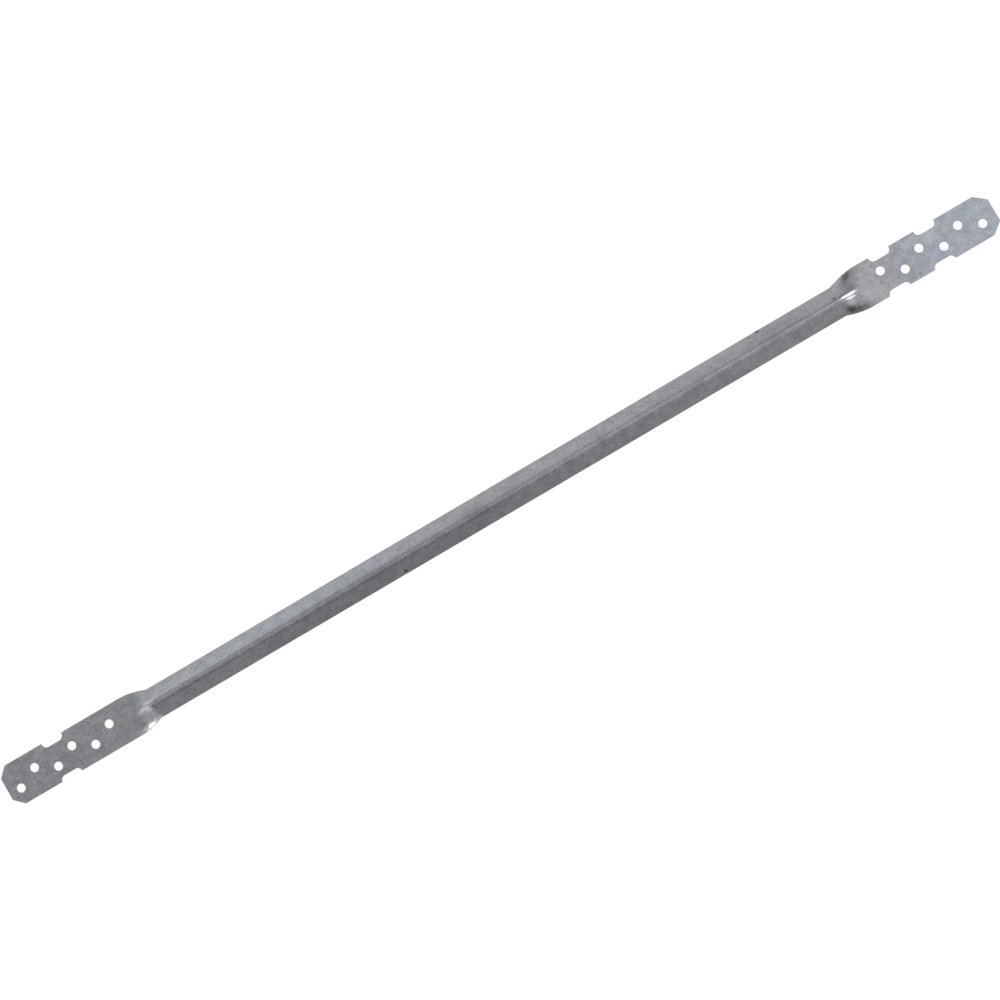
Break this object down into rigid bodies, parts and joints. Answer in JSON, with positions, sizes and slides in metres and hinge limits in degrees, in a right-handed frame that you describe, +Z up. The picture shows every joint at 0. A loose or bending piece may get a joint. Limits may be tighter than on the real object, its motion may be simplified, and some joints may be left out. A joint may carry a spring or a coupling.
{
  "type": "joist bridging strut",
  "caption": "Sheet-steel strut with a V-folded body and flat, pierced and notched tabs, nailed diagonally between wood joists to brace a floor.",
  "frame": {"origin": "middle of the length and width, at the level of the V's two lower edges", "axes": "+X along the strut to the end with two pairs of notches, +Y across it, +Z up through the ridge"},
  "size_m": [0.4948, 0.019, 0.0072],
  "materials": {
    "galvanised_steel": "galvanised, satin with a fine spangle"
  },
  "bodies": {
    "root": {"bridging_strut": "galvanised_steel"}
  },
  "joints": []
}
